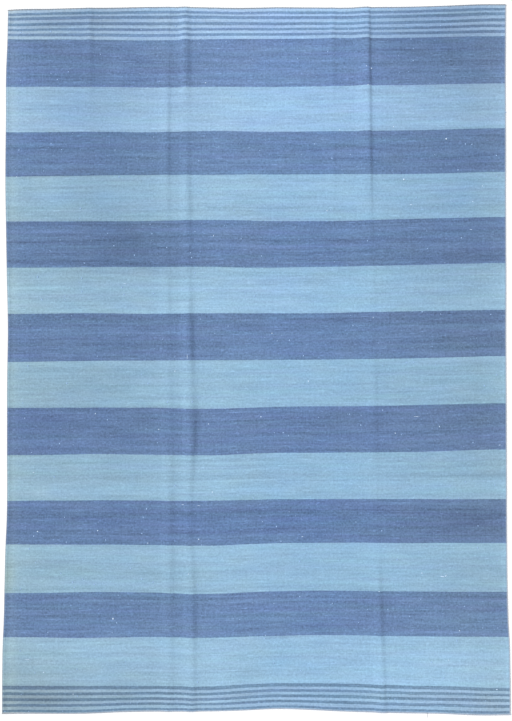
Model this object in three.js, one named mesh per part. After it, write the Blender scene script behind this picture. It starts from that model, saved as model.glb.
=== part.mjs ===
// A flat-woven striped kilim rug, lying flat on the floor. Millimetres.
//
// The rug is one woven cloth: the weaver turned the wefts round a bundle of warps at
// each side, which is the selvedge, and turned and oversewed the two ends. So it is one
// solid. Seen from above, +X runs across the rug, +Y along it towards the far end, and
// +Z up from the floor. Its outline is as uneven as a loom leaves it, and it keeps low
// ridges along its length from the way it was folded for storage.
//
// Places on the cloth are measured "along" from the far end's longest point, and
// "across" from the left side's widest point.

import * as THREE from "three";

// Driving dimensions
const WIDTH = 1715; // at the widest, near the near end
const LENGTH = 2400; // at the longest
const CLOTH_THICKNESS = 3;
const EDGE_THICKNESS = 4; // selvedges and turned ends
const SELVEDGE_WIDTH = 8;
const TURNED_END_DEPTH = 9;
const EDGE_SLOPE = 2.5; // how far the thick edge takes to fall to the cloth
const EDGE_ROUNDING = 1;

// The grid's even stretches: crosswise lines between the turned ends, and lengthwise
// lines from the last fold to the right selvedge. Each fold gives its own below.
const ALONG_STEPS = 28;
const LAST_STRETCH_STEPS = 4;

// How far each side stands in from the widest line
const SIDES = [
  { along: 0, left: 20.5, right: 15.5 },
  { along: 130, left: 18, right: 15.5 },
  { along: 225, left: 14, right: 16 },
  { along: 380, left: 13, right: 15.5 },
  { along: 600, left: 11, right: 15.5 },
  { along: 730, left: 13, right: 15 },
  { along: 900, left: 15.5, right: 14.5 },
  { along: 1120, left: 19.5, right: 15 },
  { along: 1220, left: 17.5, right: 14.5 },
  { along: 1480, left: 16.5, right: 13 },
  { along: 1740, left: 15.5, right: 12 },
  { along: 1840, left: 11, right: 11.5 },
  { along: 1960, left: 8, right: 10 },
  { along: 2080, left: 5.5, right: 7 },
  { along: 2150, left: 2.5, right: 2.5 },
  { along: 2250, left: 0.5, right: 0.5 },
  { along: 2400, left: 0, right: 0 },
];

// How far each end stands in from the longest line
const ENDS = [
  { across: 0, far: 20.5, near: 5 },
  { across: 60, far: 17, near: 6 },
  { across: 160, far: 16, near: 6 },
  { across: 270, far: 13, near: 6 },
  { across: 400, far: 11.5, near: 11.5 },
  { across: 480, far: 10, near: 13 },
  { across: 620, far: 9.5, near: 13 },
  { across: 800, far: 12.5, near: 16.5 },
  { across: 930, far: 10.5, near: 22 },
  { across: 1040, far: 11.5, near: 19 },
  { across: 1140, far: 12, near: 14.5 },
  { across: 1230, far: 10, near: 11.5 },
  { across: 1350, far: 9, near: 8 },
  { across: 1480, far: 6, near: 6 },
  { across: 1610, far: 0.5, near: 0.5 },
  { across: 1715, far: 0, near: 1.5 },
];

// Storage folds: where each ridge's crest runs, how high it stands, how far each flank
// reaches from the crest, and the grid's even steps from the last ridge to this one
const FOLDS = [
  {
    stepsBefore: 5,
    leftFlank: 15,
    rightFlank: 18,
    crest: [
      { along: 0, across: 561, height: 2.5 },
      { along: 500, across: 557, height: 3.5 },
      { along: 1000, across: 558, height: 3.5 },
      { along: 1500, across: 570, height: 3 },
      { along: 2400, across: 572, height: 2.5 },
    ],
  },
  {
    stepsBefore: 1,
    leftFlank: 30,
    rightFlank: 22,
    crest: [
      { along: 0, across: 619, height: 6 },
      { along: 200, across: 621, height: 6.5 },
      { along: 500, across: 623, height: 4.5 },
      { along: 800, across: 626, height: 4.5 },
      { along: 1120, across: 631, height: 7 },
      { along: 1430, across: 639, height: 7 },
      { along: 1600, across: 630, height: 4 },
      { along: 1750, across: 628, height: 3.5 },
      { along: 1900, across: 639, height: 4.5 },
      { along: 2060, across: 641, height: 6.5 },
      { along: 2400, across: 642, height: 5 },
    ],
  },
  {
    stepsBefore: 6,
    leftFlank: 18,
    rightFlank: 22,
    crest: [
      { along: 0, across: 1233, height: 3.5 },
      { along: 100, across: 1234, height: 8 },
      { along: 300, across: 1237, height: 9 },
      { along: 520, across: 1240, height: 7.5 },
      { along: 750, across: 1245, height: 3.5 },
      { along: 1000, across: 1252, height: 3 },
      { along: 1600, across: 1261, height: 3 },
      { along: 1880, across: 1269, height: 3.5 },
      { along: 2080, across: 1276, height: 6 },
      { along: 2280, across: 1284, height: 7 },
      { along: 2400, across: 1290, height: 4 },
    ],
  },
];

// Where a ridge's cross-section has its points between crest and foot, as shares of a
// flank
const FLANK_SHARES = [0.35, 0.65];

// A smooth curve through one column of a table
function curveThrough(table, key, column) {
  const places = table.map((row) => row[key]);
  const values = table.map((row) => row[column]);
  const curve = new THREE.CubicInterpolant(places, values, 1);
  return (place) => curve.evaluate(place)[0];
}

const leftSide = curveThrough(SIDES, "along", "left");
const rightSide = curveThrough(SIDES, "along", "right");
const farEnd = curveThrough(ENDS, "across", "far");
const nearEnd = curveThrough(ENDS, "across", "near");

const ridges = FOLDS.map((fold) => ({
  stepsBefore: fold.stepsBefore,
  leftFlank: fold.leftFlank,
  rightFlank: fold.rightFlank,
  across: curveThrough(fold.crest, "along", "across"),
  height: curveThrough(fold.crest, "along", "height"),
}));

// Height of the cloth's underside above the floor
function liftAt(across, along) {
  let lift = 0;
  for (const ridge of ridges) {
    const offset = across - ridge.across(along);
    const flank = offset < 0 ? ridge.leftFlank : ridge.rightFlank;
    const share = Math.min(Math.abs(offset) / flank, 1);
    lift += ridge.height(along) * (1 + Math.cos(Math.PI * share)) / 2;
  }
  return lift;
}

// Adds evenly spaced places after the last one, up to and with the end
function fillTo(places, end, steps) {
  const start = places[places.length - 1];
  for (let step = 1; step <= steps; step += 1) {
    places.push(start + (end - start) * step / steps);
  }
}

// Where the grid's lengthwise lines cross the rug at one place along it, from the left
// side to the right one. Every place has the same number of lines.
function acrossPlaces(along) {
  const left = leftSide(along);
  const right = WIDTH - rightSide(along);
  const places = [left + EDGE_ROUNDING];
  places.push(left + SELVEDGE_WIDTH);
  places.push(left + SELVEDGE_WIDTH + EDGE_SLOPE);
  for (const ridge of ridges) {
    const crest = ridge.across(along);
    fillTo(places, crest - ridge.leftFlank, ridge.stepsBefore);
    for (const share of FLANK_SHARES.toReversed()) {
      places.push(crest - ridge.leftFlank * share);
    }
    places.push(crest);
    for (const share of FLANK_SHARES) {
      places.push(crest + ridge.rightFlank * share);
    }
    places.push(crest + ridge.rightFlank);
  }
  fillTo(places, right - SELVEDGE_WIDTH - EDGE_SLOPE, LAST_STRETCH_STEPS);
  places.push(right - SELVEDGE_WIDTH);
  places.push(right - EDGE_ROUNDING);
  return places;
}

// Shares of the way from the far end to the near one, for the grid's crosswise lines
function alongShares() {
  const places = [EDGE_ROUNDING];
  places.push(TURNED_END_DEPTH);
  places.push(TURNED_END_DEPTH + EDGE_SLOPE);
  fillTo(places, LENGTH - TURNED_END_DEPTH - EDGE_SLOPE, ALONG_STEPS);
  places.push(LENGTH - TURNED_END_DEPTH);
  places.push(LENGTH - EDGE_ROUNDING);
  return places.map((place) => place / LENGTH);
}

// A place on the rug, moved in to its uneven ends, as a point at one height
function pointAt(across, share, height) {
  const start = farEnd(across);
  const end = LENGTH - nearEnd(across);
  const along = start + (end - start) * share;
  return [across - WIDTH / 2, LENGTH / 2 - along, height];
}

// Moves the cloth sideways so that the middle of its outline's box is the origin
function centreOnFloor(geometry) {
  geometry.computeBoundingBox();
  const middle = geometry.boundingBox.getCenter(new THREE.Vector3());
  geometry.translate(-middle.x, -middle.y, 0);
}

// The cloth: an upper and a lower grid of points, with a rounded rim between them
function clothGeometry() {
  const shares = alongShares();
  const rows = shares.length;
  const lines = acrossPlaces(0).length;
  const points = [];
  const corners = [];

  function addGrid(isUpper) {
    const first = points.length / 3;
    for (const [row, share] of shares.entries()) {
      const along = share * LENGTH;
      for (const [line, across] of acrossPlaces(along).entries()) {
        const thickRow = row < 2 || row > rows - 3;
        const thickLine = line < 2 || line > lines - 3;
        const thickness = thickRow || thickLine ? EDGE_THICKNESS : CLOTH_THICKNESS;
        const height = liftAt(across, along) + (isUpper ? thickness : 0);
        points.push(...pointAt(across, share, height));
      }
    }
    for (let row = 0; row < rows - 1; row += 1) {
      for (let line = 0; line < lines - 1; line += 1) {
        const a = first + row * lines + line;
        const b = a + 1;
        const c = a + lines;
        const d = c + 1;
        if (isUpper) {
          corners.push(a, c, b, b, c, d);
        } else {
          corners.push(a, b, c, b, d, c);
        }
      }
    }
    return first;
  }

  // Grid places round the outside, anticlockwise as seen from above
  function outsideLoop() {
    const loop = [];
    for (let line = lines - 1; line > 0; line -= 1) {
      loop.push({ row: 0, line });
    }
    for (let row = 0; row < rows - 1; row += 1) {
      loop.push({ row, line: 0 });
    }
    for (let line = 0; line < lines - 1; line += 1) {
      loop.push({ row: rows - 1, line });
    }
    for (let row = rows - 1; row > 0; row -= 1) {
      loop.push({ row, line: lines - 1 });
    }
    return loop;
  }

  const upper = addGrid(true);
  const lower = addGrid(false);
  const loop = outsideLoop();
  const rim = points.length / 3;
  for (const { row, line } of loop) {
    const along = row === 0 ? 0 : row === rows - 1 ? LENGTH : shares[row] * LENGTH;
    const places = acrossPlaces(along);
    let across = places[line];
    if (line === 0) {
      across = leftSide(along);
    }
    if (line === lines - 1) {
      across = WIDTH - rightSide(along);
    }
    const height = liftAt(across, along) + EDGE_THICKNESS / 2;
    points.push(...pointAt(across, along / LENGTH, height));
  }
  for (let step = 0; step < loop.length; step += 1) {
    const here = loop[step];
    const next = (step + 1) % loop.length;
    const there = loop[next];
    const top = upper + here.row * lines + here.line;
    const nextTop = upper + there.row * lines + there.line;
    const bottom = lower + here.row * lines + here.line;
    const nextBottom = lower + there.row * lines + there.line;
    corners.push(top, rim + step, nextTop, nextTop, rim + step, rim + next);
    corners.push(rim + step, bottom, rim + next, rim + next, bottom, nextBottom);
  }

  const geometry = new THREE.BufferGeometry();
  geometry.setAttribute("position", new THREE.Float32BufferAttribute(points, 3));
  geometry.setIndex(corners);
  geometry.computeVertexNormals();
  centreOnFloor(geometry);
  return geometry;
}

// Weft-faced wool in two blues, which read as one mid blue from far off
const woolCloth = new THREE.MeshStandardMaterial({
  color: 0x80a1c4,
  roughness: 0.95,
  metalness: 0,
});

const kilim = new THREE.Mesh(clothGeometry(), woolCloth);
kilim.name = "kilim";

const rug = new THREE.Group();
rug.add(kilim);

export default rug;
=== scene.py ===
# %% [markdown]
# # A striped kilim, lying flat on the floor
#
# A kilim is a flat-woven rug. Its coloured wefts run from side to side and are beaten down
# so tightly that they hide the warps, so a stripe is simply a run of wefts in another
# colour. There is no pile. This one is wool in two blues, with broad bands and a group of
# thin stripes near each end. It was stored folded, and keeps a few low ridges along its
# length.
#
# The lesson builds the cloth as one thin closed mesh whose rows follow the wefts, paints
# the stripes by where a weft lies in the weaving, and then adds what sits on the cloth:
# specks of pale fibre, the stitches along the two ends and a loose thread.

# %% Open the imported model, which gives the rug's place and size
import math

import bpy
import numpy as np
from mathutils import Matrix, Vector, noise


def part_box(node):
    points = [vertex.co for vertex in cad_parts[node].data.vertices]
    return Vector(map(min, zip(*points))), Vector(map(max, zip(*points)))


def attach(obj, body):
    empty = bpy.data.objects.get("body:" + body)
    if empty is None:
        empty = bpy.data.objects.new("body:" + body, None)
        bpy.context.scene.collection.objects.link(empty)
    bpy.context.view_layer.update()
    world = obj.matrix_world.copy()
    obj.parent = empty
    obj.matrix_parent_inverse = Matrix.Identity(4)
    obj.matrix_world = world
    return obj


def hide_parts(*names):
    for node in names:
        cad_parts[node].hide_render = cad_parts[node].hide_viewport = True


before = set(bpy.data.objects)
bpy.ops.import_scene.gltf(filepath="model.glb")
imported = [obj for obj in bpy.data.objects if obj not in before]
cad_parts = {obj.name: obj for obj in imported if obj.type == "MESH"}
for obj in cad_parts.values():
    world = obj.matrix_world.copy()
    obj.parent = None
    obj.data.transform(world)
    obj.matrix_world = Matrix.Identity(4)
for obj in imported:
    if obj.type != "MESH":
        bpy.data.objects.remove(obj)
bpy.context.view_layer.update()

low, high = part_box("kilim")
print("the packed rug measures", [round(side, 4) for side in high - low], "metres")

# %% [markdown]
# ## Sizes
#
# A hand-woven rug has no straight line in it, so its sizes are short tables in
# millimetres. "Along" runs from the far end to the near one, and "across" from the left
# side to the right one. Each table gives a few places, and a smooth curve joins them. A
# formula could not do this, because the unevenness is the rug's own.

# %% Driving sizes and the outline, in millimetres
MM = 0.001
WIDTH = 1715  # at the widest
LENGTH = 2400  # at the longest
CLOTH_THICKNESS = 3
EDGE_THICKNESS = 4  # selvedges and turned ends
SELVEDGE_WIDTH = 8
TURNED_END_DEPTH = 9
EDGE_SLOPE = 2.5  # how far a thick edge takes to fall to the cloth


def table(columns, *rows):
    """A small table, kept as one array of numbers for each named column."""
    return dict(zip(columns.split(), np.array(rows, float).T))


# How far each side stands in from the widest line
SIDES = table(
    "along left right",
    (0, 20.5, 15.5),
    (130, 18, 15.5),
    (225, 14, 16),
    (380, 13, 15.5),
    (600, 11, 15.5),
    (730, 13, 15),
    (900, 15.5, 14.5),
    (1120, 19.5, 15),
    (1220, 17.5, 14.5),
    (1480, 16.5, 13),
    (1740, 15.5, 12),
    (1840, 11, 11.5),
    (1960, 8, 10),
    (2080, 5.5, 7),
    (2150, 2.5, 2.5),
    (2250, 0.5, 0.5),
    (2400, 0, 0),
)

# How far each end stands in from the longest line
ENDS = table(
    "across far near",
    (0, 20.5, 5),
    (60, 17, 6),
    (160, 16, 6),
    (270, 13, 6),
    (400, 11.5, 11.5),
    (480, 10, 13),
    (620, 9.5, 13),
    (800, 12.5, 16.5),
    (930, 10.5, 22),
    (1040, 11.5, 19),
    (1140, 12, 14.5),
    (1230, 10, 11.5),
    (1350, 9, 8),
    (1480, 6, 6),
    (1610, 0.5, 0.5),
    (1715, 0, 1.5),
)

# %% A smooth curve through one column of a table
def curve_through(places, values):
    """A curve through a few values, whose slope at each one leans on its neighbours."""
    slopes = np.gradient(values, places)

    def curve(place):
        place = np.clip(place, places[0], places[-1])
        after = np.clip(np.searchsorted(places, place), 1, len(places) - 1)
        before = after - 1
        span = places[after] - places[before]
        t = (place - places[before]) / span
        value = values[before] * (1 + 2 * t) * (1 - t) ** 2
        value = value + slopes[before] * span * t * (1 - t) ** 2
        value = value + values[after] * t * t * (3 - 2 * t)
        return value - slopes[after] * span * t * t * (1 - t)

    return curve


left_side = curve_through(SIDES["along"], SIDES["left"])
right_side = curve_through(SIDES["along"], SIDES["right"])
far_end = curve_through(ENDS["across"], ENDS["far"])
near_end = curve_through(ENDS["across"], ENDS["near"])
half_way = LENGTH / 2
print("half way along, it is", round(WIDTH - left_side(half_way) - right_side(half_way)), "mm wide")

# %% [markdown]
# ## The wefts
#
# No weft lies straight either: the weaver beat one side down more than the other, and the
# cloth has shifted since. If the mesh had straight rows, the stripes would have to be bent
# in the material. Here the mesh's rows follow the wefts instead, so that a row carries one
# number, its place in the weaving, and a stripe has one start and one end for the whole
# width. Neighbouring rows share the unevenness, as neighbouring wefts do.

# %% Where the wefts at the stripes' edges lie, along, at eight places across
WEFT_STATIONS = np.array([60, 330, 535, 690, 905, 1140, 1345, 1650], float)
WEFTS = table(
    "left left_third ridges past_ridges middle before_ridge past_ridge right",
    (65, 60.5, 61.5, 59.5, 60.5, 60, 57.5, 48.5),
    (118.5, 120, 121.5, 118, 117.5, 114, 113.5, 107.5),
    (279, 279, 281.5, 279, 279, 275.5, 273, 267),
    (432, 430.5, 431.5, 428, 430, 428, 425.5, 418),
    (582, 577.5, 575.5, 575, 574, 573.5, 573, 566),
    (733.5, 732.5, 730.5, 728, 731, 731, 725, 717.5),
    (889, 887, 887, 886.5, 888.5, 885, 880.5, 874),
    (1045, 1042.5, 1045, 1042.5, 1043, 1041, 1036.5, 1031.5),
    (1207, 1203.5, 1202, 1201.5, 1200, 1198, 1195.5, 1187.5),
    (1362.5, 1361, 1362, 1365, 1359, 1356, 1353.5, 1346.5),
    (1521.5, 1518, 1520, 1522, 1514.5, 1513, 1511, 1503),
    (1675.5, 1673.5, 1675, 1675, 1670.5, 1669, 1669.5, 1670),
    (1822.5, 1823.5, 1825, 1826.5, 1818.5, 1816, 1817.5, 1818),
    (1986.5, 1983, 1986, 1989.5, 1981, 1978, 1981, 1983),
    (2135.5, 2137.5, 2135, 2138, 2131, 2128.5, 2132, 2134.5),
    (2300, 2300, 2299.5, 2301.5, 2291.5, 2291.5, 2297.5, 2306),
    (2341, 2341, 2338, 2341, 2329.5, 2330, 2337, 2344.5),
)
FIRST_WEFT = 11  # the far end's own place in the weaving, and the near end's
LAST_WEFT = 2379.5
WOVEN_EDGES = WEFTS["middle"]
WOVEN_LINES = np.array([FIRST_WEFT, *WOVEN_EDGES, LAST_WEFT], float)
BAND_EDGES = WOVEN_EDGES[1:-1]  # without the thin stripes near the ends
weft_curves = [curve_through(WEFT_STATIONS, weft) for weft in np.transpose(list(WEFTS.values()))]


def weft_place(across, woven):
    """How far along the rug a weft lies at a place across it."""
    inner = [curve(across) for curve in weft_curves]
    lines = np.stack([far_end(across), *inner, LENGTH - near_end(across)])
    after = np.clip(np.searchsorted(WOVEN_LINES, woven), 1, len(WOVEN_LINES) - 1)
    before = after - 1
    share = (woven - WOVEN_LINES[before]) / (WOVEN_LINES[after] - WOVEN_LINES[before])
    start = np.take_along_axis(lines, before[None], axis=0)[0]
    end = np.take_along_axis(lines, after[None], axis=0)[0]
    return start + (end - start) * share


print(len(BAND_EDGES) - 1, "broad bands, about", round(np.diff(BAND_EDGES).mean()), "mm each")

# %% [markdown]
# ## Ridges and swells
#
# Folded for storage, the rug took a set where it was creased. On the floor the creases open into low, soft
# ridges with nothing under them. Each is placed one by one: where its crest runs, how high it stands and how
# far each flank reaches. A cloth simulation would drape the cloth but would not know where these creases are.
# Two faint ridges die out part of the way down, and the others change from band to band, because each band's
# yarn took its own set. A slow noise adds the swells of cloth that does not lie quite flat, and its negative
# half is cut off, because there the cloth touches the floor.

# %% Ridges, in millimetres
def ridge(*crest):
    """One ridge: curves for where its crest runs, its height and how far its flanks reach."""
    line = table("along across height left right", *crest)
    return {name: curve_through(line["along"], line[name]) for name in line}


RIDGES = [
    ridge(
        (0, 298, 1, 30, 18),
        (60, 297, 2.6, 30, 18),
        (200, 297, 2.4, 30, 18),
        (355, 296, 0.3, 30, 18),
        (450, 296, 0, 30, 18),
        (2400, 296, 0, 30, 18),
    ),
    ridge(
        (0, 561, 1, 34, 16),
        (200, 559, 1.7, 34, 16),
        (355, 558, 3.2, 34, 16),
        (500, 557, 3.8, 34, 16),
        (655, 557, 1.8, 34, 17),
        (810, 558, 0.6, 34, 17),
        (965, 558, 2.4, 34, 18),
        (1120, 560, 1.5, 34, 20),
        (1280, 562, 2.2, 34, 22),
        (1435, 564, 2.5, 34, 24),
        (1590, 564, 3.4, 34, 24),
        (1900, 564, 3.4, 34, 24),
        (2060, 564, 2.8, 34, 24),
        (2400, 564, 2, 34, 24),
    ),
    ridge(
        (0, 619, 2.5, 30, 22),
        (60, 619, 5, 30, 24),
        (200, 619, 8, 30, 26),
        (355, 621, 1.6, 30, 22),
        (500, 622, 3.2, 30, 22),
        (655, 624, 4.4, 30, 22),
        (810, 626, 3.2, 30, 22),
        (965, 628, 2.4, 32, 22),
        (1120, 631, 9, 38, 24),
        (1280, 634, 5, 38, 28),
        (1435, 638, 10.5, 38, 30),
        (1590, 633, 3.3, 36, 22),
        (1745, 629, 2.8, 36, 22),
        (1900, 638, 3.2, 38, 22),
        (2060, 641, 5.8, 38, 22),
        (2210, 641, 3, 38, 22),
        (2400, 642, 3, 38, 22),
    ),
    ridge(
        (0, 1115, 1, 24, 18),
        (60, 1115, 2.3, 24, 18),
        (200, 1115, 2.2, 24, 18),
        (355, 1115, 0.5, 24, 18),
        (500, 1116, 2.2, 24, 18),
        (700, 1118, 0, 24, 18),
        (2400, 1118, 0, 24, 18),
    ),
    ridge(
        (0, 1233, 3, 55, 14),
        (60, 1234, 6, 55, 14),
        (200, 1235, 8.5, 55, 14),
        (355, 1238, 5.8, 55, 14),
        (500, 1239, 6.6, 55, 14),
        (655, 1242, 2.8, 55, 14),
        (810, 1246, 1.3, 50, 16),
        (1280, 1256, 1.9, 40, 18),
        (1435, 1258, 2.6, 40, 18),
        (1590, 1261, 1.2, 40, 18),
        (1900, 1270, 2, 40, 18),
        (2060, 1275, 4.6, 40, 17),
        (2210, 1281, 3.6, 40, 17),
        (2400, 1290, 3, 40, 17),
    ),
]


def ridge_lift(across, woven):
    """How far the ridges raise the cloth off the floor."""
    lift = np.zeros_like(across)
    for one in RIDGES:
        offset = across - one["across"](woven)
        flank = np.where(offset < 0, one["left"](woven), one["right"](woven))
        share = np.minimum(np.abs(offset) / flank, 1)
        lift += np.maximum(one["height"](woven), 0) * (1 + np.cos(np.pi * share)) / 2
    return lift


FIRST_DARK_BAND = 200  # how far along its middle lies
heights = [round(float(one["height"](FIRST_DARK_BAND)), 1) for one in RIDGES]
print(len(RIDGES), "ridges, in the first dark band", heights, "mm high")

# %% Swells of cloth that is not quite flat
SWELLS = table(
    "length height pattern",
    (420, 2.2, 3.1),  # long swells
    (75, 0.6, 7.7),  # small puckers between them
    (190, 1.6, 11.3),  # the flutter of the sides and ends, which wave a little more
)
FLUTTER_REACH = 45


def noise_at(across, along, size, pattern):
    """Smooth noise between about -1 and 1, with features of one size in millimetres."""
    places = zip(across.ravel() / size, along.ravel() / size)
    values = [noise.noise(Vector((x, y, pattern))) for x, y in places]
    return np.reshape(values, across.shape)


def swell_lift(across, along, from_edge):
    """How far the swells raise the cloth, and nothing where it touches the floor."""
    swell, pucker, flutter = [
        np.maximum(noise_at(across, along, length, pattern), 0) * height
        for length, height, pattern in zip(*SWELLS.values())
    ]
    return swell + pucker + flutter * np.exp(-from_edge / FLUTTER_REACH)


# %% [markdown]
# ## The grid of the cloth
#
# The cloth's upper and lower faces are the same grid of places, a thickness apart. Its
# rows follow the wefts. Its columns follow the ridges' crests, and stand close together
# on the flanks, where the cloth bends, and wide apart on the flat. An even grid would
# need twice the columns, and would still cut across the crests, which do not run straight.

# %% Rows and columns
ROW_STEP = 12  # the longest step between two rows, in millimetres
COLUMN_STEP = 13
FLANK_STEP = 4.5
EDGE_RADIUS = EDGE_THICKNESS / 2
SLOPE_STEPS = np.array([0, EDGE_SLOPE / 2, EDGE_SLOPE])  # down from a thick edge to the cloth
SIDE_STEPS = [4, 6, *(SELVEDGE_WIDTH + SLOPE_STEPS)]  # how far in the outer columns lie
END_STEPS = [4, 6.5, *(TURNED_END_DEPTH + SLOPE_STEPS)]


def fill(stops):
    """Places from stop to stop, in even steps that are no longer than each stop allows."""
    places = [stops[0][0]]
    for (start, _), (end, longest) in zip(stops, stops[1:]):
        steps = math.ceil(np.mean(end - start) / longest)
        places += [start + (end - start) * step / steps for step in range(1, steps + 1)]
    return places


def row_places(inset):
    """The rows' places in the weaving, the first and last one this far in from the ends."""
    stops = [(FIRST_WEFT + step, ROW_STEP) for step in [inset, *END_STEPS]]
    stops += [(edge, ROW_STEP) for edge in WOVEN_EDGES]
    stops += [(LAST_WEFT - step, ROW_STEP) for step in [*END_STEPS[::-1], inset]]
    return np.array(fill(stops))


def column_places(woven, inset):
    """Where the columns cross each row, the outer ones this far in from the sides."""
    left = left_side(woven)
    right = WIDTH - right_side(woven)
    stops = [(left + step, COLUMN_STEP) for step in [inset, *SIDE_STEPS]]
    for one in RIDGES:
        crest = one["across"](woven)
        stops.append((crest - one["left"](woven), COLUMN_STEP))
        stops.append((crest, FLANK_STEP))
        stops.append((crest + one["right"](woven), FLANK_STEP))
    stops += [(right - step, COLUMN_STEP) for step in [*SIDE_STEPS[::-1], inset]]
    return np.stack(fill(stops), axis=1)


rows = len(row_places(EDGE_RADIUS))
columns = column_places(row_places(EDGE_RADIUS), EDGE_RADIUS).shape[1]
print("a grid of", rows, "rows and", columns, "columns")

# %% Points on the cloth
def fall(distance, plateau):
    """1 within the thick edge, and 0 where it has fallen to the cloth."""
    t = np.clip((distance - plateau) / EDGE_SLOPE, 0, 1)
    return 1 - t * t * (3 - 2 * t)


def on_floor(across, along, height):
    """A place on the rug, in metres from the middle of the floor under it."""
    return np.stack([across - WIDTH / 2, LENGTH / 2 - along, height], axis=-1) * MM


def cloth_grid(inset, height_share):
    """Every grid place, its outer ring this far in, at a share of the cloth's thickness."""
    across = column_places(row_places(inset), inset)
    woven = np.repeat(row_places(inset)[:, None], across.shape[1], axis=1)
    from_left = across - left_side(woven)
    from_right = WIDTH - right_side(woven) - across
    from_far = woven - FIRST_WEFT
    from_near = LAST_WEFT - woven
    from_side = np.minimum(from_left, from_right)
    from_end = np.minimum(from_far, from_near)
    along = weft_place(across, woven)
    thick_edge = np.maximum(fall(from_side, SELVEDGE_WIDTH), fall(from_end, TURNED_END_DEPTH))
    thickness = CLOTH_THICKNESS + (EDGE_THICKNESS - CLOTH_THICKNESS) * thick_edge
    lift = ridge_lift(across, woven) + swell_lift(across, along, np.minimum(from_side, from_end))
    right_share = np.clip(1 - from_right / SELVEDGE_WIDTH, 0, 1)
    left_share = np.clip(1 - from_left / SELVEDGE_WIDTH, 0, 1)
    return {
        "place": on_floor(across, along, lift + thickness * height_share),
        "weave": np.stack([across, woven], axis=-1) * MM,
        "side": right_share - left_share,
    }


def outline_loop():
    """The grid's outer places in order, anticlockwise as seen from above."""
    loop = [(0, column) for column in range(columns - 1, 0, -1)]
    loop += [(row, 0) for row in range(rows - 1)]
    loop += [(rows - 1, column) for column in range(columns - 1)]
    loop += [(row, columns - 1) for row in range(rows - 1, 0, -1)]
    return np.array(loop)


# %% [markdown]
# ## One closed sheet
#
# Solidify could thicken a single surface, but it would also square off the edges. The
# real edges are round: a cord of warps at the sides, a turned and oversewn end at the
# top and bottom. So the sheet is put together from an upper grid, a lower grid and three
# rings of points that carry the half-round edge from one to the other.

# %% Build the sheet
RIM_ANGLES = [45, 0, -45]  # each ring's, in degrees above the edge's middle
upper = cloth_grid(EDGE_RADIUS, 1)
lower = cloth_grid(EDGE_RADIUS, 0)
loop = outline_loop()
parts = [{key: upper[key].reshape(rows * columns, -1) for key in upper}]
parts += [{key: lower[key].reshape(rows * columns, -1) for key in lower}]
for angle in np.radians(RIM_ANGLES):
    ring = cloth_grid(EDGE_RADIUS * (1 - math.cos(angle)), 0.5 + 0.5 * math.sin(angle))
    parts += [{key: ring[key][loop[:, 0], loop[:, 1]].reshape(len(loop), -1) for key in ring}]
sheet = {key: np.concatenate([part[key] for part in parts]) for key in upper}

index = np.arange(rows * columns).reshape(rows, columns)
corner, right_of, below, diagonal = index[:-1, :-1], index[:-1, 1:], index[1:, :-1], index[1:, 1:]
faces = np.stack([corner, below, diagonal, right_of], axis=-1).reshape(-1, 4)
under = np.stack([corner, right_of, diagonal, below], axis=-1).reshape(-1, 4) + rows * columns
first_ring = 2 * rows * columns
rings = [index[loop[:, 0], loop[:, 1]]]
rings += [first_ring + number * len(loop) + np.arange(len(loop)) for number in range(len(RIM_ANGLES))]
rings += [rings[0] + rows * columns]
rim = [np.stack([a, b, np.roll(b, -1), np.roll(a, -1)], axis=-1) for a, b in zip(rings, rings[1:])]
all_faces = np.concatenate([faces, under, *rim])

cloth_mesh = bpy.data.meshes.new("kilim_cloth")
cloth_mesh.from_pydata(sheet["place"].tolist(), [], all_faces.tolist())
cloth_mesh.shade_smooth()


def new_object(name, data):
    """An object in the scene, at the origin, that shows a mesh, a light or a camera."""
    made = bpy.data.objects.new(name, data)
    bpy.context.scene.collection.objects.link(made)
    return made


cloth = new_object("kilim_cloth", cloth_mesh)
print("the cloth has", 2 * len(all_faces), "triangles and is", cloth.dimensions[:], "m")

# %% [markdown]
# ## Coordinates for the material
#
# A pattern in cloth follows the threads, so the material needs to know where in the
# weaving each point is. Two UV maps and an attribute carry that. "Weave" holds the place
# across the rug and the place in the weaving, both in metres, so that every pattern can
# be scaled in real sizes. "side" is 0 on the cloth and grows to 1 at the right side's
# outer edge and to minus 1 at the left one's. "OFBake" lays the rug out as one rectangle
# for baking, with both faces in the same place, since they wear the same stripes, and
# the rim in the margin round it.

# %% UV maps and the edge attribute
BAKE_SIZE = 1024  # pixels
BAKE_MARGIN = 5
RIM_PIXELS = [1.5, 3, 1.5]  # how far outside the rectangle each ring of the rim lies
corner_points = np.empty(len(cloth_mesh.loops), np.int32)
cloth_mesh.loops.foreach_get("vertex_index", corner_points)


def add_uv_map(name, values):
    """A UV map from one pair of numbers for each point."""
    layer = cloth_mesh.uv_layers.new(name=name)
    layer.data.foreach_set("uv", values[corner_points].astype(np.float32).ravel())


add_uv_map("Weave", sheet["weave"])
inner_share = 1 - 2 * BAKE_MARGIN / BAKE_SIZE
bake = sheet["place"][:, :2] / (np.array([WIDTH, LENGTH]) * MM) * inner_share + 0.5
loop_rows, loop_columns = loop.T
rightward = np.sign(loop_columns - (columns - 1) / 2) * np.isin(loop_columns, [0, columns - 1])
farward = -np.sign(loop_rows - (rows - 1) / 2) * np.isin(loop_rows, [0, rows - 1])
outward = np.stack([rightward, farward], axis=1)
for ring, pixels in zip(rings[1:], RIM_PIXELS):
    bake[ring] += outward * pixels / BAKE_SIZE
add_uv_map("OFBake", bake)
attribute = cloth_mesh.attributes.new("side", "FLOAT", "POINT")
attribute.data.foreach_set("value", sheet["side"].astype(np.float32).ravel())
print("bake map from", bake.min(axis=0).round(4), "to", bake.max(axis=0).round(4))

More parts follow.
